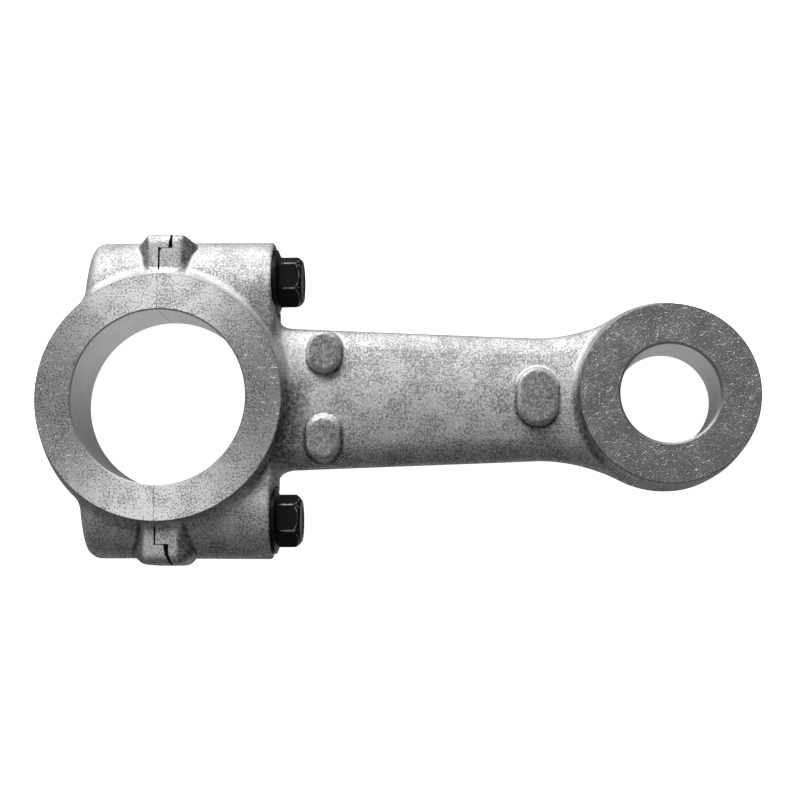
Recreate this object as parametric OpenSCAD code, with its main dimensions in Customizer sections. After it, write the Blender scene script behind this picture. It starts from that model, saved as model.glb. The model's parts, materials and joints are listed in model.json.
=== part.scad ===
// Split-end connecting rod for a small engine, die cast in aluminium.
// Origin: centre of the big-end bore at half thickness. +X runs along the
// rod to the small end, the bores run along Z, and the bolts run along X.

/* [Rod] */
// Distance between the centres of the two bores
centre_distance = 140; // [120:1:200]
// Thickness over the machined faces of both ends
end_thickness = 25; // [22:0.5:30]

/* [Big end] */
// Radius of the crankpin bore
big_bore_r = 24.2; // [20:0.1:26]
// Outer radius of the machined ring face
big_ring_r = 34.2; // [32:0.1:35]
// Outer radius of the cast ring at half thickness
big_ring_mid_r = 37; // [36:0.1:38]
// Height at which the cast shoulder starts below the machined face
ring_stand_proud = 3.2; // [2:0.1:5]
// Chamfer at each end of the crankpin bore
big_chamfer = 0.5; // [0.2:0.1:1]

/* [Small end] */
// Radius of the piston pin bore
small_bore_r = 13.45; // [10:0.05:15]
// Outer radius of the machined small-end face
small_ring_r = 24.3; // [22:0.1:26]
// Outer radius of the small end at half thickness
small_ring_mid_r = 26.1; // [24.5:0.1:27]
// Chamfer at each end of the piston pin bore
small_chamfer = 0.6; // [0.2:0.1:1.5]

/* [Bolt columns] */
// Distance of each bolt axis from the centre line of the rod
bolt_offset = 33.7; // [33:0.1:35]
// Radius of the half-round column around each bolt
column_r = 11.2; // [10:0.1:12]
// Height of the column's crest above half thickness
column_crest = 10; // [9:0.1:11]
// Position of the machined seat under the bolt heads
seat_x = 30.7; // [29:0.1:33]
// Position of the cap's far end face
cap_end_x = -21.2; // [-26:0.2:-21]

/* [Parting joint] */
// Offset of the parting plane from the crankpin bore's centre
parting_x = -0.5; // [-1:0.1:0]
// Start of the raised joint boss on the cap side
boss_start_x = -5.8; // [-9:0.1:-5]
// End of the raised joint boss on the rod side
boss_end_x = 7.8; // [5:0.1:9]
// Outermost distance of the joint boss from the centre line
boss_y = 46.1; // [46:0.1:48]
// Height of the joint boss above half thickness
boss_crest = 9.6; // [8:0.1:10]
// Distance of the register step from the centre line
register_y = 41.3; // [41:0.1:43]
// Length of the cap's register lip past the parting plane
register_length = 2.6; // [2:0.1:3.5]
// Gap left between the end of the lip and the rod
register_gap = 1.1; // [0.5:0.1:1.5]

/* [Shank] */
// Half thickness of the shank
shank_half_z = 6.8; // [6:0.1:8]
// Half width of the shank where it leaves the big end
shank_wide = 19.7; // [18:0.1:20]
// Half width of the shank at its waist
shank_narrow = 17.25; // [15:0.05:18]
// Position of the waist, measured back from the small-end centre
waist_back = 35.7; // [30:0.1:45]
// Radius of the concave flare after the waist
flare_r = 48; // [30:1:50]
// Step of the soft shoulder along the shank's edges
shoulder = 1.8; // [1:0.1:2.5]
// Radius of the corner fillets between the bolt seats and the shank
corner_r = 3.5; // [2:0.1:5]
// Height of the oval pads above the shank
pad_height = 2; // [1:0.1:3]

/* [Bolts] */
// Nominal thread diameter
bolt_d = 8; // [6:1:8]
// Length under the head
bolt_length = 45; // [40:1:48]
// Width across the flats of the hexagon
hex_across_flats = 13; // [10:0.5:15]
// Diameter of the bolt's flange
flange_d = 18.4; // [16:0.1:19]
// Total height of the head, flange included
head_height = 8.4; // [7:0.1:9]
// Thickness of the flange's rim
flange_rim = 1.1; // [0.8:0.1:2]
// Height of the flange up to the hexagon
flange_height = 2.9; // [2:0.1:4]

/* [Hidden] */
$fn = 96;
// Overrun of every cutting shape, and a length greater than the whole rod.
cut = 1;
reach = 300;
half_z = end_thickness / 2;
thread_play = 0.05;
bolt_r = bolt_d / 2 - thread_play;
clearance_hole_r = bolt_d / 2 + 0.3;
// The tapped holes run past the bolts' tips and end in a drill point.
tapped_hole_depth = bolt_length - seat_x + 3.5;
drill_point = 2.3;
drill_tip_r = 0.3;
lip_side_play = 0.05;
// Angle by which tightening has left each hexagon turned, upper then lower.
hex_turn = [-6.5, -5.5];
// Each pad is [x from the big-end centre, y, width along X, length along Y].
PADS = [
    [45.6, 12.2, 10, 11.8],
    [45.4, -11.4, 9.8, 12.4],
    [centre_distance - 35.7, 0, 11.7, 16.5]
];

// The convex end of the flare is an arc that crowns beside the small end and
// meets the concave arc at the angle flare_turn.
crown_y = small_ring_mid_r + 0.2;
flare_y = shank_narrow + flare_r;
crown_r = (pow(waist_back, 2) + pow(flare_y - crown_y, 2) - pow(flare_r, 2))
    / (2 * (flare_r - flare_y + crown_y));
flare_turn = 90 - atan2(flare_y - crown_y + crown_r, waist_back);
waist_x = centre_distance - waist_back;

// Points along an arc, from one angle to another.
function arc(centre, r, from, to, steps = 14) = [
    for (i = [0:steps])
        let (angle = from + (to - from) * i / steps)
            [centre[0] + r * cos(angle), centre[1] + r * sin(angle)]
];

// A ring with a machined face, a short upright wall and a cast shoulder.
module ring_blank(face_r, mid_r, land) {
    rotate_extrude()
        polygon([
            [0, -half_z], [face_r, -half_z], [face_r, land - half_z],
            [mid_r - 0.4, land - half_z], [mid_r, 0], [mid_r - 0.4, half_z - land],
            [face_r, half_z - land], [face_r, half_z], [0, half_z]
        ]);
}

// A through bore along Z with a chamfer at each mouth.
module bore(r, chamfer) {
    cylinder(r = r, h = end_thickness + 2 * cut, center = true);
    for (side = [0, 1])
        mirror([0, 0, side])
            translate([0, 0, half_z - chamfer])
                cylinder(r1 = r, r2 = r + chamfer + cut, h = chamfer + cut);
}

// A cylinder along +X that starts at start_x on one bolt axis.
module along_bolt(side, start_x, r, h) {
    translate([start_x, side * bolt_offset, 0])
        rotate([0, 90, 0])
            cylinder(r = r, h = h);
}

module bolt_column(side) {
    intersection() {
        along_bolt(side, cap_end_x, column_r, seat_x - cap_end_x);
        translate([0, side * bolt_offset, 0])
            cube([reach, 4 * column_r, 2 * column_crest], center = true);
    }
}

module joint_boss(side) {
    boss_inner_y = 34;
    corner = 3;
    translate([boss_start_x, 0, 0])
        rotate([90, 0, 90])
            linear_extrude(boss_end_x - boss_start_x) {
                translate([side > 0 ? boss_inner_y : -boss_y, corner - boss_crest])
                    square([boss_y - boss_inner_y, 2 * (boss_crest - corner)]);
                translate([side > 0 ? boss_inner_y : corner - boss_y, -boss_crest])
                    square([boss_y - boss_inner_y - corner, 2 * boss_crest]);
                for (up = [-1, 1])
                    translate([side * (boss_y - corner), up * (boss_crest - corner)])
                        circle(r = corner);
            }
}

// The big end before it is split, with the bolt columns and joint bosses.
module big_end_blank() {
    ring_blank(big_ring_r, big_ring_mid_r, ring_stand_proud);
    for (side = [-1, 1]) {
        bolt_column(side);
        joint_boss(side);
    }
}

// Everything on the cap's side of the stepped parting joint.
module cap_side(lip_end, lip_inner_y) {
    translate([parting_x - reach, -reach / 2, -reach / 2])
        cube(reach);
    for (side = [0, 1])
        mirror([0, side, 0])
            translate([parting_x - cut, lip_inner_y, -reach / 2])
                cube([cut + lip_end, reach, reach]);
}

// One half of the shank's outline, drawn inset from its full width.
module shank_half_outline(inset) {
    root_x = 20;
    polygon(concat(
        [[root_x, -cut], [root_x, shank_wide - inset]],
        arc([waist_x, flare_y], flare_r + inset, -90, flare_turn - 90),
        arc([centre_distance, crown_y - crown_r], crown_r - inset, 90 + flare_turn, 90),
        [[centre_distance, -cut]]
    ));
}

module corner_fillet() {
    edge_y = shank_wide - 0.5;
    translate([seat_x - cut, edge_y - cut])
        difference() {
            square(corner_r + cut);
            translate([corner_r + cut, corner_r + cut])
                circle(r = corner_r);
        }
}

module shank() {
    for (side = [0, 1])
        mirror([0, side, 0]) {
            linear_extrude(2 * (shank_half_z - shoulder), center = true) {
                shank_half_outline(0);
                corner_fillet();
            }
            linear_extrude(2 * shank_half_z, center = true)
                shank_half_outline(shoulder);
        }
}

module oval_pad(width, length, height) {
    linear_extrude(height, center = true) {
        square([width, length - width], center = true);
        for (side = [-1, 1])
            translate([0, side * (length - width) / 2])
                circle(r = width / 2);
    }
}

module pads() {
    for (pad = PADS)
        translate([pad[0], pad[1], 0])
            oval_pad(pad[2], pad[3], 2 * (shank_half_z + pad_height));
}

module rod_body() {
    color([0.72, 0.72, 0.73])
        difference() {
            union() {
                difference() {
                    big_end_blank();
                    cap_side(register_length + register_gap, register_y - lip_side_play);
                }
                difference() {
                    union() {
                        shank();
                        pads();
                    }
                    cylinder(r = big_ring_r - cut, h = reach, center = true);
                }
                translate([centre_distance, 0, 0])
                    ring_blank(small_ring_r, small_ring_mid_r, ring_stand_proud);
            }
            bore(big_bore_r, big_chamfer);
            translate([centre_distance, 0, 0])
                bore(small_bore_r, small_chamfer);
            for (side = [-1, 1])
                along_bolt(side, parting_x - cut, clearance_hole_r, reach);
        }
}

module tapped_hole(side) {
    along_bolt(side, -tapped_hole_depth, bolt_d / 2, tapped_hole_depth + register_length + cut);
    translate([-tapped_hole_depth - drill_point, side * bolt_offset, 0])
        rotate([0, 90, 0])
            cylinder(r1 = drill_tip_r, r2 = bolt_d / 2, h = drill_point + 0.01);
}

module bearing_cap() {
    color([0.7, 0.7, 0.71])
        difference() {
            intersection() {
                big_end_blank();
                cap_side(register_length, register_y);
            }
            bore(big_bore_r, big_chamfer);
            for (side = [-1, 1])
                tapped_hole(side);
        }
}

// A hexagon-head flange bolt with its seat face at x = 0, thread along -X.
module flange_bolt(turn) {
    tip_chamfer = 1;
    hex_r = hex_across_flats / 2 / cos(30);
    chamfer_r = hex_across_flats / 2 - 0.3;
    rotate([0, -90, 0])
        cylinder(r = bolt_r, h = bolt_length - tip_chamfer);
    translate([-bolt_length, 0, 0])
        rotate([0, 90, 0])
            cylinder(r1 = bolt_r - tip_chamfer, r2 = bolt_r, h = tip_chamfer);
    rotate([0, 90, 0]) {
        cylinder(d = flange_d, h = flange_rim);
        translate([0, 0, flange_rim])
            cylinder(d1 = flange_d, d2 = hex_across_flats, h = flange_height - flange_rim);
        intersection() {
            rotate([0, 0, turn])
                cylinder(r = hex_r, h = head_height, $fn = 6);
            cylinder(r1 = chamfer_r + head_height / tan(30), r2 = chamfer_r, h = head_height);
        }
    }
}

module placed_bolt(side, turn) {
    color([0.08, 0.08, 0.09])
        translate([seat_x, side * bolt_offset, 0])
            flange_bolt(turn);
}

module upper_bolt() {
    placed_bolt(1, 30 + hex_turn[0]);
}

module lower_bolt() {
    placed_bolt(-1, 30 + hex_turn[1]);
}

rod_body();
bearing_cap();
upper_bolt();
lower_bolt();
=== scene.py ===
"""Connecting rod of a small engine: the looks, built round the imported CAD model.

The casting is one blank of rounded shapes, described by distance fields in millimetres.
It is then machined as the real one is: the ends are turned and bored, the bolt seats are
spot faced, the blank is parted into the rod and its cap along a stepped register, and both
are drilled. The bolts are built from their own profiles. The main sizes come from the CAD
frame.
"""
import json
import math

import bmesh
import bpy
import numpy as np
from mathutils import Euler, Matrix, Vector


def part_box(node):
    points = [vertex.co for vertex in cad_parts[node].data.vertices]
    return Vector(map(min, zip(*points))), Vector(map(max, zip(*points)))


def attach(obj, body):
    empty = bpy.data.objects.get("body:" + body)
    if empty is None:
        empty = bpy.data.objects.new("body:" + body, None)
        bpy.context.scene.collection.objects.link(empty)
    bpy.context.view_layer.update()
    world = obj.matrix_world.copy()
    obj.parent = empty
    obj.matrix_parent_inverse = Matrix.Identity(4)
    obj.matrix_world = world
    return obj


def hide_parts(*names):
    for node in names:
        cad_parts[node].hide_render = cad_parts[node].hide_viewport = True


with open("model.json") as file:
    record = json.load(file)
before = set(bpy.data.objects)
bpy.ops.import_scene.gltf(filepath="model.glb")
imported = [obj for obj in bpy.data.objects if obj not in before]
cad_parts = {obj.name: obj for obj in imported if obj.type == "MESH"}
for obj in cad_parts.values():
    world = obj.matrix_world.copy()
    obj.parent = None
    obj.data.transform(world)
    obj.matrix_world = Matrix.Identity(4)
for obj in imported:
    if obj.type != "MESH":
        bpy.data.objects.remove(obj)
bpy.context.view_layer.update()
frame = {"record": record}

# ---------------------------------------------------------------- sizes, in millimetres

MM = 0.001
mounts = {mount["name"]: mount for mount in frame["record"]["mounts"]}


def box_mm(node):
    """The lowest and highest corner of a CAD node."""
    return [np.array(corner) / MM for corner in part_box(node)]


rod_low, rod_high = box_mm("rod_body")
bolt_low, bolt_high = box_mm("upper_bolt")

HALF = rod_high[2]                                       # half the thickness over the turned faces
SPAN = mounts["small_end_bore"]["pos_m"][0] / MM         # between the bore centres
BIG_BORE = mounts["big_end_bore"]["dims"]["r_mm"]
SMALL_BORE = mounts["small_end_bore"]["dims"]["r_mm"]
BIG_RING = 34.2                                          # radius of the big end's turned face
BIG_DRAFT = 0.228                                        # growth of its wall for each mm of depth
SMALL_RING = 24.5
SMALL_DRAFT = 0.112
BOLT_Y = (bolt_low[1] + bolt_high[1]) / 2                # bolt axis from the rod's centre line
BOLT_LENGTH = 45.0                                       # under the head
SEAT = bolt_low[0] + BOLT_LENGTH                         # plane that the bolt flanges bear on
PARTING = rod_low[0]                                     # plane that the rod and its cap share
STOCK = 0.8                                              # allowance that the turning takes off
SPOT = 0.2                                               # depth of the spot faces


# ---------------------------------------------------------------- camera

def make_camera():
    data = bpy.data.cameras.new("camera")
    data.lens = 73.8
    data.sensor_width = 36.0
    data.clip_start = 0.01
    data.clip_end = 20.0
    camera = bpy.data.objects.new("camera", data)
    camera.location = Vector((88.82, -51.96, 455.64)) * MM
    camera.rotation_euler = Euler([math.radians(a) for a in (6.489, 2.860, -0.076)])
    bpy.context.scene.collection.objects.link(camera)
    bpy.context.scene.camera = camera


make_camera()


# ---------------------------------------------------------------- distance fields

def rise(value, start, end):
    """Climbs in a straight line from 0 at start to 1 at end."""
    return np.clip((value - start) / (end - start), 0, 1)


def union(a, b, r):
    """Both solids, with a fillet of radius r where they meet."""
    return np.maximum(r, np.minimum(a, b)) - np.hypot(np.maximum(r - a, 0), np.maximum(r - b, 0))


def common(a, b, r):
    """What two solids share, with its edges rounded to radius r."""
    return np.minimum(-r, np.maximum(a, b)) + np.hypot(np.maximum(r + a, 0), np.maximum(r + b, 0))


def oval(u, v, a, b, power):
    """Distance, close to the surface, from the rounded box |u/a|^power + |v/b|^power = 1."""
    su = np.abs(u / a) + 1e-6
    sv = np.abs(v / b) + 1e-6
    size = (su ** power + sv ** power) ** (1 / power)
    slope = np.hypot(su ** (power - 1) / a, sv ** (power - 1) / b) * size ** (1 - power)
    return (size - 1) / slope


def turned_end(x, y, depth, radius, draft):
    """A ring's outside, drafted from its turned face down to half thickness."""
    wall = (np.hypot(x, y) - radius - draft * depth) / math.hypot(1, draft)
    return np.maximum(wall, -depth - STOCK)


# In the shapes below, a is the distance from the centre line and h from half thickness.

EDGE = 0.9                 # rounding of the casting's outer edges
COLUMN_MID = 30.0          # the columns' section is centred here, inside the bolt axis
COLUMN_WIDE = 14.7
COLUMN_HIGH = 10.0
COLUMN_POWER = 1.9         # a little leaner at the corners than an ellipse
COLUMN_SEAT = SEAT + SPOT
CAP_END = -24.9            # far end of the columns on the cap, carried to the rod's middle
CAP_END_RAKE = 0.09        # how it draws back with the distance from the centre line
CAP_END_TILT = 0.05        # and with the height
CAP_END_LOW = 0.5          # the lower column is this much longer
CAP_END_ROUND = 3.7, 4.4   # rounding of the upper and the lower column's end


def bolt_columns(x, y, a, h):
    """The two columns that the bolts run through, rounded off at the cap's end."""
    tube = oval(a - COLUMN_MID, h, COLUMN_WIDE, COLUMN_HIGH, COLUMN_POWER)
    end = CAP_END + CAP_END_RAKE * a + CAP_END_TILT * h - np.where(y > 0, 0, CAP_END_LOW) - x
    tube = common(tube, end, np.where(y > 0, *CAP_END_ROUND))
    return common(tube, x - COLUMN_SEAT, EDGE)


WEB_OUT = 26.0
WEB_HALF = 7.6
WEB_START = 12.0
WEB_ROUND = 2.0


def web(x, a, h):
    """The thin wall that ties each column to the shank behind the seat."""
    ends = np.maximum(x - COLUMN_SEAT, WEB_START - x)
    return common(common(a - WEB_OUT, h - WEB_HALF, WEB_ROUND), ends, EDGE)


BOSS_X = 1.1
BOSS_Y = 0.1               # the two bosses sit this far above the centre line
BOSS_HALF = 4.85           # half the length of the flat top
BOSS_END = 3.6             # how far the sloping ends reach past that
BOSS_TOP = 10.6
BOSS_OUT = rod_high[1]
BOSS_IN = 28.0
BOSS_SLOPE = 0.72, 0.65    # of the ends towards the rod and towards the cap, seen from the side
BOSS_LEAN = 1.3, 1.6       # and seen from the front
BOSS_ROUND = 3.0           # rounding of the top
BOSS_END_ROUND = 1.2       # where the two slopes of an end meet
BOSS_FOOT_ROUND = 0.8


def joint_bosses(x, a, h):
    """Raised pads over the parting joint, with sloping ends."""
    front = h - BOSS_TOP
    outer = a - BOSS_OUT
    along = np.abs(x - BOSS_X) - BOSS_HALF
    slope = np.where(x > BOSS_X, *BOSS_SLOPE)
    lean = np.where(x > BOSS_X, *BOSS_LEAN)
    sloping = (along + slope * front) / np.hypot(1, slope)
    leaning = (along + lean * outer) / np.hypot(1, lean)
    ends = common(common(sloping, leaning, BOSS_END_ROUND), along - BOSS_END, BOSS_FOOT_ROUND)
    top = common(front, outer, BOSS_ROUND)
    return np.maximum(common(top, ends, EDGE), BOSS_IN - a)


SHANK_HALF = 6.8
SHANK_START = 26.0
SHANK_END = SPAN + 21.0
CROWN_RATE = 0.0105        # drop of the shank's faces with the square of the distance from their crest
CROWN_OFF = 1.5            # the crest lies this far below the centre line
RIM_HALF = 1.7
BEVEL_OUT = 0.68           # the bevel's direction
BEVEL_UP = 0.73
BEVEL_ROUND = 1.5
RIM_ROUND = 1.3
TAPER_X = 42.0
TAPER_WIDE = 19.8          # half the width where the taper begins
WAIST_WIDE = 17.25
WAIST_X = SPAN - 35.7
WAIST_R = 48.0             # the hollow arc where the shank opens out
SMALL_CAST = -0.4, 0.3     # how far the cast small end sits off the bore, at half thickness
ROUND_X = SPAN + SMALL_CAST[0]
ROUND_R = math.hypot(ROUND_X - WAIST_X, WAIST_WIDE + WAIST_R) - WAIST_R
ROUND_PAST = 23.0          # the outline closes this far past the small end's centre


def shank_width(x):
    """Half the shank's width: a taper, a hollow arc, and the arc round the small end that it touches."""
    taper = TAPER_WIDE + (WAIST_WIDE - TAPER_WIDE) * (x - TAPER_X) / (WAIST_X - TAPER_X)
    hollow = WAIST_WIDE + WAIST_R - np.sqrt(np.maximum(WAIST_R ** 2 - (x - WAIST_X) ** 2, 1))
    around = np.sqrt(np.maximum(ROUND_R ** 2 - (x - ROUND_X) ** 2, 1))
    past = ROUND_R * np.sqrt(np.maximum(1 - ((x - ROUND_X) / ROUND_PAST) ** 2, 0.002))
    touch = WAIST_X + (ROUND_X - WAIST_X) * WAIST_R / (WAIST_R + ROUND_R)
    return np.select([x < WAIST_X, x < touch, x < ROUND_X], [taper, hollow, around], past)


def shank(x, y, h):
    """The shank: crowned faces, a bevelled shoulder along each edge and a narrow rim."""
    wide = shank_width(x)
    off = y + CROWN_OFF
    rate = CROWN_RATE * (WAIST_WIDE / wide) ** 2
    crown = (h - SHANK_HALF + rate * off ** 2) / np.hypot(1, 2 * rate * off)
    rim = np.abs(y) - wide
    bevel = BEVEL_OUT * rim + BEVEL_UP * (h - RIM_HALF)
    body = common(common(crown, bevel, BEVEL_ROUND), rim, RIM_ROUND)
    return np.maximum(np.maximum(body, SHANK_START - x), x - SHANK_END)


# Centre, width and length of the oval pads
PADS = [(45.4, 12.4, 9.8, 12.0), (45.2, -11.4, 9.6, 12.8), (104.3, 0.0, 11.4, 16.4)]
PAD_TOP = SHANK_HALF + 1.8
PAD_LEVEL = PAD_TOP - 2.0  # they are as wide and long as given at this height
PAD_DRAFT = 0.1
PAD_ROUND = 1.4
PAD_FOOT = 2.0


def oval_pad(x, y, h, pad):
    """A low pillow: steep sides with a large rounding over to a small flat top."""
    pad_x, pad_y, width, length = pad
    beyond = np.maximum(np.abs(y - pad_y) - (length - width) / 2, 0)
    side = np.hypot(x - pad_x, beyond) - width / 2 - PAD_DRAFT * (PAD_LEVEL - h)
    return np.maximum(common(side, h - PAD_TOP, PAD_ROUND), PAD_FOOT - h)


SKEW_X = -7.5, 97.5, 122.0, 140.0
SKEW_Y = 0.66, -0.18, -0.18, 0.57  # how far the casting sits off the machined centre line there
WEB_FILLET = 2.5
BOSS_FILLET = 0.6
SHANK_FILLET = 5.0, 6.0    # above and below the centre line
PAD_FILLET = 0.5
RING_FILLET = 1.5, 2.4     # along the shank and along the columns, with the values of a for them
RING_FILLET_A = 18.0, 26.0
SMALL_FILLET = 1.3


def casting(x, y, z):
    """The whole cast blank. It wanders off the machined centre line by up to 0.7 mm."""
    h = np.abs(z)
    depth = HALF - h
    cast_y = y - np.interp(x, SKEW_X, SKEW_Y)
    a = np.abs(cast_y)
    columns = union(bolt_columns(x, cast_y, a, h), web(x, a, h), WEB_FILLET)
    columns = union(columns, joint_bosses(x, np.abs(y - BOSS_Y), h), BOSS_FILLET)
    body = union(shank(x, cast_y, h), columns, np.where(y > 0, *SHANK_FILLET))
    for pad in PADS:
        body = union(body, oval_pad(x, cast_y, h, pad), PAD_FILLET)
    fillet = np.interp(a, RING_FILLET_A, RING_FILLET)
    body = union(body, turned_end(x, y, depth, BIG_RING, BIG_DRAFT), fillet)
    small_x = x - SPAN - SMALL_CAST[0] * depth / HALF
    small_y = y - SMALL_CAST[1] * depth / HALF
    return union(body, turned_end(small_x, small_y, depth, SMALL_RING, SMALL_DRAFT), SMALL_FILLET)


# ---------------------------------------------------------------- meshing

def slopes(field, points, reach=0.02):
    """Unit normals and steepness of the field at the points."""
    parts = []
    for axis in range(3):
        step = np.zeros(3)
        step[axis] = reach
        parts.append(field(*(points + step).T) - field(*(points - step).T))
    normals = np.stack(parts, axis=1) / (2 * reach)
    steepness = np.linalg.norm(normals, axis=1, keepdims=True)
    return normals / np.maximum(steepness, 1e-9), steepness


def net(field, low, high, step, rounds=4):
    """Points and quads of the field's surface, one point to each cell that it crosses.
    In a few rounds the points are then drawn on to the surface itself."""
    axes = [np.arange(a, b + step, step) for a, b in zip(low, high)]
    values = field(*np.meshgrid(*axes, indexing="ij", sparse=True))
    cells = tuple(n - 1 for n in values.shape)
    corners, crossings = [], []
    for axis in range(3):
        along = [slice(None)] * 3
        along[axis] = slice(None, -1)
        first = values[tuple(along)]
        along[axis] = slice(1, None)
        second = values[tuple(along)]
        edge = np.argwhere((first < 0) != (second < 0))
        start = first[tuple(edge.T)]
        crossing = edge.astype(float)
        crossing[:, axis] += start / (start - second[tuple(edge.T)])
        u, v = (axis + 1) % 3, (axis + 2) % 3
        around = []
        for du, dv in ((0, 0), (1, 0), (1, 1), (0, 1)):
            cell = edge.copy()
            cell[:, u] -= du
            cell[:, v] -= dv
            around.append(np.ravel_multi_index(cell.T, cells))
        around = np.stack(around, axis=1)
        outward = start < 0
        around[~outward] = around[~outward][:, ::-1]
        corners.append(around)
        crossings.append(crossing)
    corners = np.concatenate(corners)
    crossings = np.repeat(np.concatenate(crossings), 4, axis=0)
    _, quads = np.unique(corners.ravel(), return_inverse=True)
    quads = quads.ravel()
    count = np.bincount(quads)
    points = np.stack([np.bincount(quads, crossings[:, k]) / count for k in range(3)], axis=1)
    points = points * step + np.array(low)
    for _ in range(rounds):
        normals, steepness = slopes(field, points)
        points -= normals * (field(*points.T)[:, None] / np.maximum(steepness, 0.3))
    return points, quads.reshape(-1, 4)


def mesh_object(name, points, faces):
    """An object from points in millimetres and a list or table of faces."""
    if isinstance(faces, np.ndarray):
        faces = faces.tolist()
    mesh = bpy.data.meshes.new(name)
    mesh.from_pydata((np.asarray(points) * MM).tolist(), [], faces)
    obj = bpy.data.objects.new(name, mesh)
    bpy.context.scene.collection.objects.link(obj)
    return obj


def lathe(profile, centre, slots, axis="z", segments=256):
    """A solid of revolution whose profile of (radius, height) points runs from axis to axis.
    slots gives the material of each stretch of the profile."""
    turns = np.linspace(0, 2 * math.pi, segments, endpoint=False)
    circle = np.stack([np.cos(turns), np.sin(turns), np.zeros(segments)], axis=1)
    rows = [circle * radius + [0, 0, height] for radius, height in profile[1:-1]]
    ends = [[0, 0, profile[0][1]], [0, 0, profile[-1][1]]]
    points = np.concatenate(rows + [ends])
    if axis == "x":
        points = points[:, [2, 0, 1]]
    this = np.arange(segments)
    after = (this + 1) % segments
    start = len(rows) * segments
    faces = [(start, b, a) for a, b in zip(this, after)]
    for row in range(0, start - segments, segments):
        above = row + segments
        faces += [(row + a, row + b, above + b, above + a) for a, b in zip(this, after)]
    faces += [(start + 1, start - segments + a, start - segments + b) for a, b in zip(this, after)]
    obj = mesh_object("tool", points + np.array(centre), faces)
    kinds = list(dict.fromkeys(slots))
    for kind in kinds:
        obj.data.materials.append(kind)
    marks = np.repeat([kinds.index(slot) for slot in slots], segments)
    obj.data.polygons.foreach_set("material_index", marks)
    return obj


def prism(outline, half, slot):
    """An outline in X and Y, drawn out to half above and below."""
    count = len(outline)
    points = [(x, y, z) for z in (-half, half) for x, y in outline]
    faces = [tuple(range(count - 1, -1, -1)), tuple(range(count, 2 * count))]
    for a in range(count):
        b = (a + 1) % count
        faces.append((a, b, b + count, a + count))
    obj = mesh_object("tool", points, faces)
    obj.data.materials.append(slot)
    return obj


def boolean(obj, other, operation="DIFFERENCE"):
    """Applies a boolean with the other object, which is used up."""
    modifier = obj.modifiers.new("cut", "BOOLEAN")
    modifier.operation = operation
    modifier.solver = "MANIFOLD"
    modifier.material_mode = "TRANSFER"
    modifier.object = other
    graph = bpy.context.evaluated_depsgraph_get()
    mesh = bpy.data.meshes.new_from_object(obj.evaluated_get(graph))
    obj.modifiers.clear()
    obj.data = mesh
    bpy.data.objects.remove(other)


def smooth(obj, angle):
    """Smooth shading with crisp edges above the angle."""
    mesh = obj.data
    mesh.polygons.foreach_set("use_smooth", np.ones(len(mesh.polygons), bool))
    mesh.set_sharp_from_angle(angle=math.radians(angle))


def read(items, name, width=1, kind=float):
    """One property of all the items, as a row or as a table of this width."""
    values = np.empty(len(items) * width, kind)
    items.foreach_get(name, values)
    return values.reshape(-1, width) if width > 1 else values


def store(mesh, name, values):
    """Keeps one value for each vertex, for the materials to use."""
    mesh.attributes.new(name, "FLOAT", "POINT").data.foreach_set("value", values)


# ---------------------------------------------------------------- materials

class Nodes:
    """A shader's node tree, which is built up as an expression."""

    def __init__(self, tree):
        self.tree = tree

    def node(self, kind, settings=None, **inputs):
        """Adds a node; an input is a number, a colour or another node's output."""
        node = self.tree.nodes.new("ShaderNode" + kind)
        for setting, value in (settings or {}).items():
            setattr(node, setting, value)
        for socket, value in inputs.items():
            self.set(node.inputs[socket.replace("_", " ")], value)
        return node

    def set(self, socket, value):
        if isinstance(value, bpy.types.NodeSocket):
            self.tree.links.new(value, socket)
        else:
            socket.default_value = value

    def vector(self, operation, *values, **inputs):
        node = self.node("VectorMath", {"operation": operation}, **inputs)
        for socket, value in zip(node.inputs, values):
            self.set(socket, value)
        return node.outputs["Value" if operation == "LENGTH" else "Vector"]

    def math(self, operation, *values):
        node = self.node("Math", {"operation": operation})
        for socket, value in zip(node.inputs, values):
            self.set(socket, value)
        return node.outputs["Value"]

    def product(self, first, *others):
        for other in others:
            first = self.math("MULTIPLY", first, other)
        return first

    def ramp(self, value, low, high, to_low=0.0, to_high=1.0, course="SMOOTHSTEP"):
        """Maps low..high to to_low..to_high, smoothly unless told otherwise."""
        node = self.node("MapRange", {"interpolation_type": course}, Value=value,
                         From_Min=low, From_Max=high, To_Min=to_low, To_Max=to_high)
        return node.outputs["Result"]


class Material(Nodes):
    """A material of one Principled shader, in coordinates of the object in millimetres."""

    def __init__(self, name, **sockets):
        self.data = bpy.data.materials.new(name)
        self.data.use_nodes = True
        super().__init__(self.data.node_tree)
        self.shader = self.tree.nodes["Principled BSDF"]
        for socket, value in sockets.items():
            self.shader.inputs[socket.replace("_", " ")].default_value = value
        place = self.node("TexCoord").outputs["Object"]
        self.place = self.vector("SCALE", place, Scale=1 / MM)

    def noise(self, size, detail=2.0, roughness=0.5):
        """Noise from 0 to 1 whose largest grains are about this many millimetres."""
        node = self.node("TexNoise", Vector=self.place, Scale=1 / size, Detail=detail, Roughness=roughness)
        return node.outputs["Fac"]

    def attribute(self, name):
        return self.node("Attribute", {"attribute_name": name}).outputs["Fac"]

    def grey(self, value):
        """Sends one grey to the base colour."""
        node = self.node("CombineColor", Red=value, Green=value, Blue=value)
        self.set(self.shader.inputs["Base Color"], node.outputs["Color"])

    def bump(self, height, depth):
        """Adds relief: height 0..1 is this many millimetres deep."""
        node = self.node("Bump", Height=height, Distance=depth * MM)
        old = self.shader.inputs["Normal"].links
        if old:
            self.set(node.inputs["Normal"], old[0].from_socket)
        self.set(self.shader.inputs["Normal"], node.outputs["Normal"])


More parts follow.
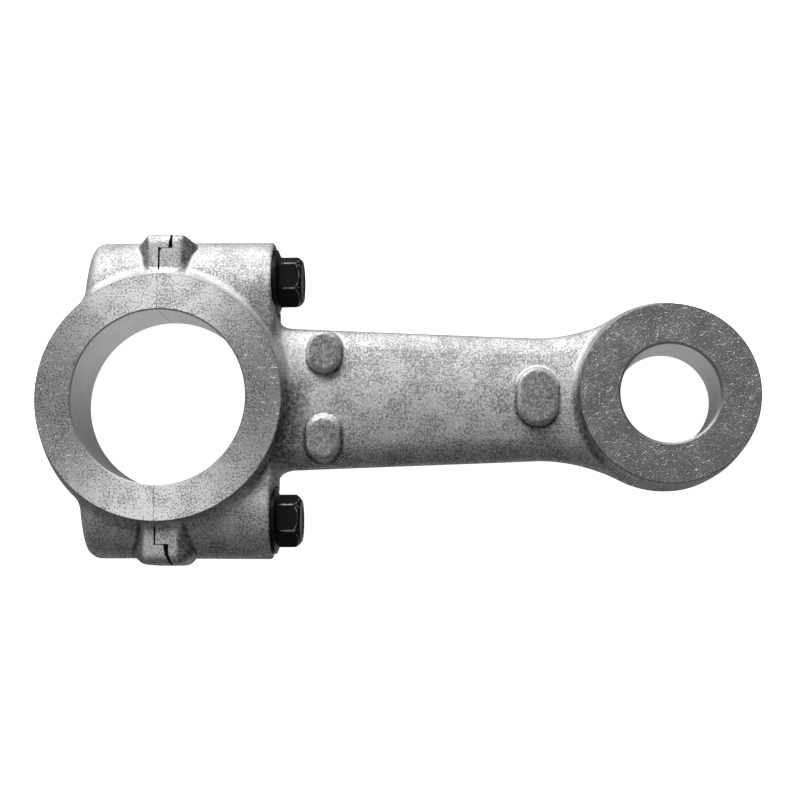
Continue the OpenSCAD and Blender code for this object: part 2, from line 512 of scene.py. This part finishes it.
SPREAD = 0.3, 0.7          # nearly all of a noise lies in this range
MIDDLE = 0.35, 0.65        # and most of it in this
PIT_TONE = 0.45
# painted shade: how dark the hollows and the walls turned from the key light are painted
PAINTED_SHADE_TONE = 0.22
RUBBED_TONE = 0.48


def cast_skin(name):
    """Tumbled die-cast aluminium: coarse grain, pits in patches, painted shade in the hollows and on walls
    turned from the key light, and fewer pits, a painted highlight, on parts facing it.
    """
    skin = Material(name, Metallic=1.0)
    rubbed = skin.attribute("rubbed")
    grain = skin.noise(0.33, detail=3.0, roughness=0.8)
    waves = skin.noise(5.0, detail=3.0, roughness=0.5)
    patches = skin.ramp(skin.noise(8.0, detail=4.0, roughness=0.65), *MIDDLE, -0.04, 0.05)
    pits = skin.math("ADD", skin.noise(0.5, detail=3.0, roughness=0.8), patches)
    # painted highlight: pits are thinned out where the skin faces the key light
    pits_kept = skin.ramp(skin.attribute("painted_lit"), 0.05, 0.5, 1.0, 0.1)
    pits = skin.product(skin.ramp(pits, 0.46, 0.6), pits_kept)
    # painted shade in the hollows and on walls turned from the key light, broken up by noise
    shade_breakup = skin.ramp(skin.noise(1.2, detail=4.0, roughness=0.7), 0.4, 0.6, 1.0, 0.55)
    painted_shade = skin.product(skin.attribute("painted_shade"), shade_breakup)
    streaks = skin.ramp(skin.noise(1.1, detail=4.0, roughness=0.7), 0.38, 0.62, 1.0, 0.4)
    worn = skin.product(rubbed, streaks)
    skin.grey(skin.product(
        skin.ramp(grain, *MIDDLE, 0.6, 1.0),
        skin.ramp(waves, *SPREAD, 0.92, 1.0),
        skin.ramp(pits, 0.0, 1.0, 1.0, PIT_TONE),
        # painted shade
        skin.ramp(painted_shade, 0.0, 1.0, 1.0, PAINTED_SHADE_TONE),
        skin.ramp(worn, 0.0, 1.0, 1.0, RUBBED_TONE),
    ))
    skin.set(skin.shader.inputs["Roughness"], skin.ramp(rubbed, 0.0, 1.0, 0.6, 0.5))
    skin.bump(waves, 0.12)
    skin.bump(grain, 0.1)
    skin.bump(pits, -0.05)
    return skin.data


RIM_SHADE = 0.35            # width of the line of painted shade along a turned face's outer edge
# scratches painted lighter: partly bare metal, partly a painted glint
SCRATCH_SHINE = 0.26


def turned_face(name, centre_x, ring, tone, dent_tone, roughness, anisotropy):
    """A faced-off ring, with its lay running round the bore, dented and scratched by tumbling. A line of
    painted shade runs along its outer edge, and its scratches are painted lighter, partly as a painted
    glint.
    """
    face = Material(name, Metallic=1.0, Anisotropic=anisotropy)
    arm = face.vector("SUBTRACT", face.place, (centre_x, 0, 0))
    arm = face.vector("MULTIPLY", arm, (1, 1, 0))
    face.set(face.shader.inputs["Tangent"], face.vector("NORMALIZE", arm))
    stain = face.noise(6.0, detail=3.0, roughness=0.6)
    dents = face.noise(0.5, detail=3.0, roughness=0.7)
    dents = face.math("ADD", dents, face.ramp(stain, *MIDDLE, -0.045, 0.04))
    dents = face.ramp(dents, 0.48, 0.6)
    wander = face.node("TexNoise", Vector=face.place, Scale=0.6, Detail=1.0).outputs["Color"]
    bent = face.vector("ADD", face.place, face.vector("SCALE", wander, Scale=2.5))
    cells = face.node("TexVoronoi", {"feature": "DISTANCE_TO_EDGE"}, Vector=bent, Scale=0.6)
    lines = face.ramp(cells.outputs["Distance"], 0.0, 0.06, 1.0, 0.0)
    scratches = face.product(lines, face.ramp(face.noise(1.4), 0.5, 0.58))
    shade = face.product(
        face.ramp(dents, 0.0, 1.0, tone, dent_tone),
        face.ramp(stain, *SPREAD, 0.97, 1.0),
        # painted shade along the outer edge
        face.ramp(face.vector("LENGTH", arm), ring - RIM_SHADE, ring, 1.0, 0.5),
    )
    # scratches painted lighter, partly a painted glint
    shade = face.math("MULTIPLY_ADD", scratches, SCRATCH_SHINE, shade)
    face.grey(face.math("MINIMUM", shade, 1.0))
    rough = face.ramp(stain, *SPREAD, roughness - 0.02, roughness + 0.02)
    face.set(face.shader.inputs["Roughness"], rough)
    face.bump(dents, -0.02)
    face.bump(scratches, 0.03)
    return face.data


def bored_wall(name, tone):
    """A bore's wall, with fine tool lines round it."""
    wall = Material(name, Metallic=1.0, Roughness=0.46)
    height = wall.node("SeparateXYZ", Vector=wall.place).outputs["Z"]
    lines = wall.node("TexNoise", {"noise_dimensions": "1D"}, W=height, Scale=5.0, Detail=3.0, Roughness=0.7)
    lines = lines.outputs["Fac"]
    stain = wall.ramp(wall.noise(7.0, detail=3.0, roughness=0.5), *SPREAD, 0.9, 1.0)
    wall.grey(wall.product(wall.ramp(lines, *SPREAD, 0.9 * tone, tone), stain))
    wall.bump(lines, 0.004)
    return wall.data


SHADE_FADE = 1.2


def milled(name, dark, light, roughness=0.38, shade_from=None):
    """A cut face, with a faint lay. Beyond a distance from the centre line it may be painted dark, a painted
    shade for the gap between rod and cap.
    """
    cut = Material(name, Metallic=1.0, Roughness=roughness)
    lay = cut.noise(0.25, detail=2.0, roughness=0.6)
    tone = cut.ramp(lay, *SPREAD, dark, light)
    if shade_from:
        side = cut.node("SeparateXYZ", Vector=cut.place).outputs["Y"]
        # painted shade in the gap between rod and cap
        shaded = cut.ramp(cut.math("ABSOLUTE", side), shade_from, shade_from + SHADE_FADE, 1.0, 0.06)
        tone = cut.product(tone, shaded)
    cut.grey(tone)
    cut.bump(lay, 0.008)
    return cut.data


def black_oxide(name):
    """Blackened steel, grey along its edges: partly worn, partly a painted highlight."""
    black = Material(name, Metallic=0.0, Roughness=0.36, Specular_IOR_Level=0.1)
    stain = black.noise(1.2, detail=4.0, roughness=0.6)
    # edges painted grey: partly wear, partly a painted highlight
    scuff_and_glint = black.product(black.attribute("wear_and_glint"), black.ramp(stain, 0.35, 0.6, 0.3, 1.0))
    black.grey(black.ramp(scuff_and_glint, 0.2, 1.0, 0.009, 0.42))
    black.bump(stain, 0.02)
    return black.data


CAST = cast_skin("cast_skin")
BIG_FACE = turned_face("big_turned_face", 0.0, BIG_RING, tone=1.0, dent_tone=0.4,
                       roughness=0.6, anisotropy=0.87)
SMALL_FACE = turned_face("small_turned_face", SPAN, SMALL_RING, tone=0.38, dent_tone=0.56,
                         roughness=0.3, anisotropy=0.1)
BIG_WALL = bored_wall("big_bore_wall", tone=0.7)
SMALL_WALL = bored_wall("small_bore_wall", tone=0.56)
MILLED = milled("milled_face", dark=0.6, light=0.7)
# painted shade: the spot faces under the bolt flanges are painted near black
SHADED_SEAT_FACE = milled("bolt_seat_painted_shade", dark=0.12, light=0.2)
# painted shade beyond the rings, in the gap between rod and cap
JOINT_FACE = milled("joint_face", dark=0.4, light=0.5, roughness=0.45, shade_from=34.6)
BLACK = black_oxide("black_oxide")


# ---------------------------------------------------------------- machining

CELL = 0.6                 # size of the blank's mesh
BLANK_LOW = -39.0, -49.2, -13.8
BLANK_HIGH = 167.0, 49.2, 13.8
EDGE_BREAK = 0.14
BIG_CHAMFER = 0.4
SMALL_CHAMFER = 0.6
SEAT_RADIUS = 9.9
OVER_SEAT = 4.0            # length of the spot-facing tool
CLEARANCE = 4.3            # radius of the rod's bolt holes
TAPPED = 4.0               # radius of the cap's
TAPPED_END = bolt_low[0] - 3.5
DRILL_POINT = 2.3
COUNTERSINK = 0.7
OVER = 1.0                 # how far the drills run past the metal
RING_GAP = 0.06            # each side of the joint stands back by this at the rings
BOSS_GAP = 0.25            # and by this at the bosses
FAR = 60.0                 # outside the casting, at its cap's end and on both sides
FAR_SMALL = 200.0          # outside it at the small end
FAR_UP = 20.0              # above and below it


def turn_end(blank, centre_x, ring, bore, chamfer, face, wall):
    """Faces both sides of an end, bores it and breaks its edges."""
    past = 1.6                 # the tool reaches past the ring's edge and above the blank
    top = HALF + 2.5
    half = [
        (ring + past, top), (ring + past, HALF - past), (ring - EDGE_BREAK, HALF),
        (bore + chamfer, HALF), (bore, HALF - chamfer),
    ]
    lower = [(radius, -height) for radius, height in half]
    profile = [(0, -top)] + lower + half[::-1] + [(0, top)]
    slots = [face] * 4 + [wall] * 3 + [face] * 4
    boolean(blank, lathe(profile, (centre_x, 0, 0), slots))


def cut_holes(obj, start, profile, slot, segments):
    """Cuts a round hole on both bolt axes. Its profile of (radius, x) begins at start."""
    slots = [slot] * (len(profile) - 1)
    for side in (1, -1):
        boolean(obj, lathe(profile, (start, side * BOLT_Y, 0), slots, "x", segments))


def parting_line(side):
    """The parting path from low Y to high Y, on the rod's side (+1) or the cap's (-1).
    The register laps about 0.2 mm clear, and the lips leave a wedge that narrows outwards."""
    ring = PARTING + side * RING_GAP
    boss = PARTING + side * BOSS_GAP
    if side > 0:
        lower = [(5.0, -FAR), (4.4, -46.2), (3.35, -43.0), (3.3, -40.27), (boss, -40.27)]
        upper = [(boss, 41.0), (PARTING + 0.75, 41.82), (3.3, 41.82), (3.2, 46.6), (3.1, FAR)]
    else:
        lower = [(4.6, -FAR), (3.9, -46.2), (2.3, -43.0), (1.9, -40.5), (boss, -40.5)]
        upper = [(boss, 42.0), (2.1, 42.0), (2.65, 46.6), (2.9, FAR)]
    return lower + [(boss, -36.0), (ring, -35.4), (ring, 35.4), (boss, 36.0)] + upper


def make_casting():
    """The machined rod and its cap."""
    blank = mesh_object("blank", *net(casting, BLANK_LOW, BLANK_HIGH, CELL))
    blank.data.materials.append(CAST)
    turn_end(blank, 0.0, BIG_RING, BIG_BORE, BIG_CHAMFER, BIG_FACE, BIG_WALL)
    turn_end(blank, SPAN, SMALL_RING, SMALL_BORE, SMALL_CHAMFER, SMALL_FACE, SMALL_WALL)
    spot = [(0, 0), (SEAT_RADIUS, 0), (SEAT_RADIUS, OVER_SEAT), (0, OVER_SEAT)]
    cut_holes(blank, SEAT, spot, SHADED_SEAT_FACE, 96)
    cap = blank.copy()
    cap.data = blank.data.copy()
    bpy.context.scene.collection.objects.link(cap)
    rod_side = [(FAR_SMALL, FAR)] + parting_line(1)[::-1] + [(FAR_SMALL, -FAR)]
    cap_side = [(-FAR, -FAR)] + parting_line(-1) + [(-FAR, FAR)]
    boolean(blank, prism(rod_side, FAR_UP, JOINT_FACE), "INTERSECT")
    boolean(cap, prism(cap_side, FAR_UP, JOINT_FACE), "INTERSECT")
    start, end = PARTING - OVER, SEAT + OVER
    through = [(0, start), (CLEARANCE, start), (CLEARANCE, end), (0, end)]
    cut_holes(blank, 0, through, MILLED, 64)
    blind = [
        (0, TAPPED_END - DRILL_POINT), (TAPPED, TAPPED_END), (TAPPED, PARTING - COUNTERSINK),
        (TAPPED + COUNTERSINK + OVER, PARTING + OVER), (0, PARTING + OVER),
    ]
    cut_holes(cap, 0, blind, MILLED, 64)
    return blank, cap


CAST_CREASE = 32.0         # degrees from which an edge is crisp


def shade_casting(obj):
    """Smooth shading that stays crisp at machined edges and follows the field on cast skin."""
    mesh = obj.data
    smooth(obj, CAST_CREASE)
    points = read(mesh.vertices, "co", 3) / MM
    normals, _ = slopes(casting, points)
    corners = read(mesh.corner_normals, "vector", 3)
    corner_of = read(mesh.loops, "vertex_index", kind=int)
    cast = read(mesh.polygons, "material_index", kind=int) == mesh.materials.find(CAST.name)
    cast = np.repeat(cast, read(mesh.polygons, "loop_total", kind=int))
    corners[cast] = normals[corner_of[cast]]
    paint_light_and_wear(mesh, points, normals)
    mesh.normals_split_custom_set(corners.tolist())


HOLLOW_REACH = 0.9         # the surface's bend is taken over this distance
HOLLOW_GAIN = 1.2
ROOT_X = 30.0              # painted shade at the shank's root begins here
ROOT_R = 44.0              # and ends at this radius round the big end
ROOT_OUT = 24.0
BOSS_REACH = 9.5           # the bosses' ends with painted shade lie within this of the middle
BOSS_SHADE_OUT = 36.0          # and begin this far out


def paint_light_and_wear(mesh, points, normals):
    """Stores the painted light, the painted shade and the rubbing of the skin. As painted light, pits are
    thinned out on the parts that face the upper bolt's side, where the key light is, and in hollows facing
    it. Painted shade lies in the hollows, on the steep walls and at the shank's root on the other side, and
    on the bosses' ends. The tops of the pads are rubbed."""
    x, y, z = points.T
    out = np.abs(y)
    steps = HOLLOW_REACH * np.concatenate([np.eye(3), -np.eye(3)])
    bend = sum(casting(*(points + step).T) for step in steps) - len(steps) * casting(x, y, z)
    hollow = np.clip(-HOLLOW_GAIN * bend / HOLLOW_REACH ** 2, 0, 1)
    # surfaces turned away from the key light; painted shade goes only on these
    turned_from_key = rise(normals[:, 1], 0.4, 0)
    bright_side = rise(normals[:, 1], 0.1, 0.35)
    # painted highlight: pits thinned out on the side facing the key light and in hollows facing it
    store(mesh, "painted_lit", np.maximum(hollow * (1 - turned_from_key), 0.22 * bright_side))
    steep = rise(np.abs(normals[:, 2]), 0.42, 0.17)
    root = np.clip((ROOT_R - np.hypot(x, y)) / 7, 0, 0.85) * (x > ROOT_X) * rise(out, ROOT_OUT, 16)
    # painted shade in the hollows, on steep walls and at the root, where they are turned from the key light
    painted_shade = turned_from_key * np.maximum(np.maximum(0.9 * hollow, 0.75 * steep), root)
    # painted shade on the bosses' flanks that face along the rod
    boss_ends = np.clip((np.abs(normals[:, 0]) - 0.3) / 0.25, 0, 0.7)
    boss_ends = boss_ends * (np.abs(x - BOSS_X) < BOSS_REACH) * rise(out, BOSS_SHADE_OUT, 38)
    store(mesh, "painted_shade", np.maximum(painted_shade, boss_ends))
    on_pads = [np.hypot(x - pad_x, y - pad_y) < length for pad_x, pad_y, _, length in PADS]
    top = rise(np.abs(z), PAD_TOP - 0.35, PAD_TOP - 0.05)
    store(mesh, "rubbed", np.any(on_pads, axis=0) * top)


# ---------------------------------------------------------------- bolts

HEX = 6.5                  # half the width across the flats
HEX_CORNER = 7.45          # radius over its corners
HEX_POWER = 90             # the higher, the sharper its edges
HEX_TURN = {1: 23.5, -1: 24.5}  # in degrees, as tightening has left each bolt
HEAD = bolt_high[0] - SEAT - 0.3  # its height, a little less than the CAD's
CHAMFER_IN = 1.7           # how far the head's end is drawn in
CHAMFER = 1.9              # and over what height
CORNER_WEAR_GLINT = 0.03         # how fast the wear and painted highlight fade from the corners
EDGE_WEAR_GLINT = 0.13           # and from the chamfer's edge
FLANGE = 9.2
RIM = 1.1                  # height of the flange's rim
CONE_FOOT = FLANGE - 0.2   # radius of the flange's cone at the rim
CONE_IN = 6.95             # and at its top
CONE_TOP = 1.9
THREAD = 3.95              # radius of the plain part
CREST = THREAD - 0.02
ROOT = 3.25
POINT = 2.9                # radius of the thread's tip
PITCH = 1.25
THREADED = 22.0
BOLT_CREASE = 38.0


def blend_min(a, b, k):
    """The smaller value, with a soft change-over k wide."""
    mix = np.clip(0.5 + 0.5 * (b - a) / k, 0, 1)
    return b + (a - b) * mix - k * mix * (1 - mix)


def polar_mesh(name, radii, heights, turns, shift=0):
    """A closed rod along X from tables of radius and height, rows by turns.
    shift rows are gained in one full turn, which makes a helix."""
    rows, count = radii.shape
    points = np.stack([heights, radii * np.cos(turns), radii * np.sin(turns)], axis=-1).reshape(-1, 3)
    faces = []
    for row in range(rows - 1):
        for k in range(count):
            a = row * count + k
            b = a + 1 if k + 1 < count else (row + shift) * count
            if b + count < rows * count:
                faces.append((a, a + count, b + count, b))
    obj = mesh_object(name, points, faces)
    edit = bmesh.new()
    edit.from_mesh(obj.data)
    if shift:
        bmesh.ops.remove_doubles(edit, verts=edit.verts, dist=1e-3 * MM)
    bmesh.ops.holes_fill(edit, edges=edit.edges)
    bmesh.ops.recalc_face_normals(edit, faces=edit.faces)
    edit.to_mesh(obj.data)
    edit.free()
    return obj


def hexagon_outline(side, turns):
    """The hexagon's radius at each turn, and how close that is to a corner, from 0 to 1."""
    flats = np.abs([np.cos(turns - math.radians(HEX_TURN[side] + 60 * k)) for k in range(3)])
    radius = HEX / np.sum(flats ** HEX_POWER, axis=0) ** (1 / HEX_POWER)
    _, second, first = np.sort(flats, axis=0)
    return radius, np.exp((second - first) / CORNER_WEAR_GLINT)


def bolt_head(side):
    """Hexagon with rounded edges on its flange, and the plain part of the shank."""
    count = 360
    turns = np.linspace(0, 2 * math.pi, count, endpoint=False)
    hexagon, corner = hexagon_outline(side, turns)
    plain = SEAT - BOLT_LENGTH + THREADED - 1
    rim = SEAT + RIM
    # Radius, height and wear with painted highlight, from the shank up to the flange's rim
    rows = [
        (THREAD, plain, 0), (THREAD, SEAT, 0), (FLANGE - 0.25, SEAT, 0),
        (FLANGE, SEAT + 0.25, 0.1), (FLANGE, rim - 0.2, 0.2),
        (FLANGE - 0.06, rim - 0.06, 0.5), (CONE_FOOT, rim, 0.3),
    ]
    fine = HEAD - 2.0
    for t in np.concatenate([np.linspace(RIM, fine, 34)[1:], np.linspace(fine, HEAD, 22)[1:]]):
        cone = CONE_FOOT + (CONE_IN - CONE_FOOT) * (t - RIM) / (CONE_TOP - RIM)
        dome = HEX_CORNER - CHAMFER_IN * rise(t, HEAD - CHAMFER, HEAD) ** 1.5
        body = blend_min(hexagon, dome, 0.25)
        above = np.clip((t - CONE_TOP) / 1.5, 0, 1)
        # wear and painted highlight along the corners and the chamfer's edge
        worn = np.maximum(corner, np.exp(-((hexagon - dome) / EDGE_WEAR_GLINT) ** 2)) * above
        rows.append((-blend_min(-body, -cone, 0.5), SEAT + t, worn))
    # The flat end and the shallow dish in it
    brim = rows[-1][0]
    for scale, drop in ((0.985, 0.0), (0.86, 0.0), (0.80, 0.13), (0.72, 0.33), (0.3, 0.39)):
        rows.append((brim * scale, SEAT + HEAD - drop, 0.3 if scale > 0.9 else 0.0))
    radii, heights, wear_and_glint = [np.array([np.broadcast_to(v, count) for v in column]) for column in zip(*rows)]
    head = polar_mesh("head", radii, heights, turns)
    store(head.data, "wear_and_glint", wear_and_glint.ravel())
    return head


def bolt_thread():
    """The threaded length, as a rod whose rows climb one pitch in a turn."""
    per_pitch, count = 12, 48
    tip = SEAT - BOLT_LENGTH
    end = tip + THREADED
    total = round((THREADED / PITCH + 3) * per_pitch)
    turns = np.arange(count) / count * 2 * math.pi
    row = np.arange(total)[:, None] + 0 * turns
    heights = tip + PITCH * (row / per_pitch + turns / (2 * math.pi) - 2)
    heights = np.clip(heights, tip, end)
    # 0 along the root and 1 along the crest, with straight flanks between them
    ridge = np.clip(np.abs(row / per_pitch % 1 - 0.5) * 2.6 - 0.2, 0, 1)
    radii = ROOT + (CREST - ROOT) * ridge
    radii = np.minimum(radii, POINT + (heights - tip) * 0.9)
    radii = np.minimum(radii, ROOT - 0.1 + (end - heights))
    return polar_mesh("thread", radii, heights, turns, per_pitch)


def make_bolt(side):
    bolt = bolt_head(side)
    bolt.data.materials.append(BLACK)
    boolean(bolt, bolt_thread(), "UNION")
    bolt.data.transform(Matrix.Translation((0, side * BOLT_Y * MM, 0)))
    smooth(bolt, BOLT_CREASE)
    return bolt


rod, cap = make_casting()
for part in (rod, cap):
    shade_casting(part)

PIECES = [
    (rod, "machined_rod", "rod", "rod_body", "cast_rod"),
    (cap, "machined_cap", "cap", "bearing_cap", "cast_cap"),
    (make_bolt(1), "upper_flange_bolt", "bolt_upper", "upper_bolt", "black_bolt"),
    (make_bolt(-1), "lower_flange_bolt", "bolt_lower", "lower_bolt", "black_bolt"),
]
for piece, name, body, node, finish in PIECES:
    piece.name = piece.data.name = name
    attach(piece, body)
    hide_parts(node)


# ---------------------------------------------------------------- floor and light

AMBIENT = 0.11
BELOW = 0.42               # added straight below
BELOW_SIDE = 2.2           # how fast that falls off from the lower bolt's side to the upper one's
BACKDROP = 1.2
FLOOR_HALF = 3000.0
FLOOR_GAP = 0.05


def make_floor():
    """A pale table top, lit so evenly that it shows no shadow."""
    corners = [(FLOOR_HALF * x, FLOOR_HALF * y, 0) for x, y in ((-1, -1), (1, -1), (1, 1), (-1, 1))]
    floor = mesh_object("floor", corners, [(0, 1, 2, 3)])
    floor.location = Vector((SPAN / 2, 0, -HALF - FLOOR_GAP)) * MM
    paper = Material("white_paper", Roughness=0.9, Emission_Strength=1.0)
    paper.shader.inputs["Base Color"].default_value = (0.9, 0.9, 0.9, 1)
    paper.shader.inputs["Emission Color"].default_value = (1, 1, 1, 1)
    floor.data.materials.append(paper.data)
    floor.visible_diffuse = False
    floor.visible_glossy = False


def area_light(name, azimuth, zenith, distance, size, radiance):
    """A rectangular lamp aimed at the middle of the rod. Its size doesn't change its radiance."""
    data = bpy.data.lights.new(name, "AREA")
    data.shape = "RECTANGLE"
    data.size, data.size_y = size
    data.energy = radiance * math.pi * size[0] * size[1] * math.pi / 4
    lamp = bpy.data.objects.new(name, data)
    bpy.context.scene.collection.objects.link(lamp)
    azimuth, zenith = math.radians(azimuth), math.radians(zenith)
    flat = math.sin(zenith)
    out = Vector((math.cos(azimuth) * flat, math.sin(azimuth) * flat, math.cos(zenith)))
    lamp.location = Vector((SPAN / 2 * MM, 0, 0)) + out * distance
    lamp.rotation_euler = out.to_track_quat("Z", "Y").to_euler()


def make_world():
    """White to the camera. To the metal, a dim glow that is brighter from below."""
    world = bpy.data.worlds.new("studio")
    world.use_nodes = True
    sky = Nodes(world.node_tree)
    split = sky.node("SeparateXYZ", Vector=sky.node("TexCoord").outputs["Generated"])
    below = sky.ramp(split.outputs["Z"], -0.5, -0.98, 0.0, BELOW)
    side = sky.ramp(split.outputs["Y"], -0.4, 0.4, 1 + 0.4 * BELOW_SIDE, 1 - 0.4 * BELOW_SIDE, "LINEAR")
    glow = sky.tree.nodes["Background"]
    white = sky.node("Background", Strength=BACKDROP)
    for background in (glow, white):
        background.inputs["Color"].default_value = (1, 1, 1, 1)
    sky.set(glow.inputs["Strength"], sky.math("ADD", sky.product(below, side), AMBIENT))
    mix = sky.node("MixShader", Fac=sky.node("LightPath").outputs["Is Camera Ray"])
    sky.set(mix.inputs[1], glow.outputs["Background"])
    sky.set(mix.inputs[2], white.outputs["Background"])
    sky.set(sky.tree.nodes["World Output"].inputs["Surface"], mix.outputs["Shader"])
    bpy.context.scene.world = world


make_floor()
make_world()
area_light("key", azimuth=104, zenith=62, distance=1.2, size=(1.4, 0.5), radiance=10.0)
area_light("softbox", azimuth=90, zenith=2, distance=0.9, size=(1.2, 1.2), radiance=0.22)
bpy.context.scene.view_settings.view_transform = "Standard"
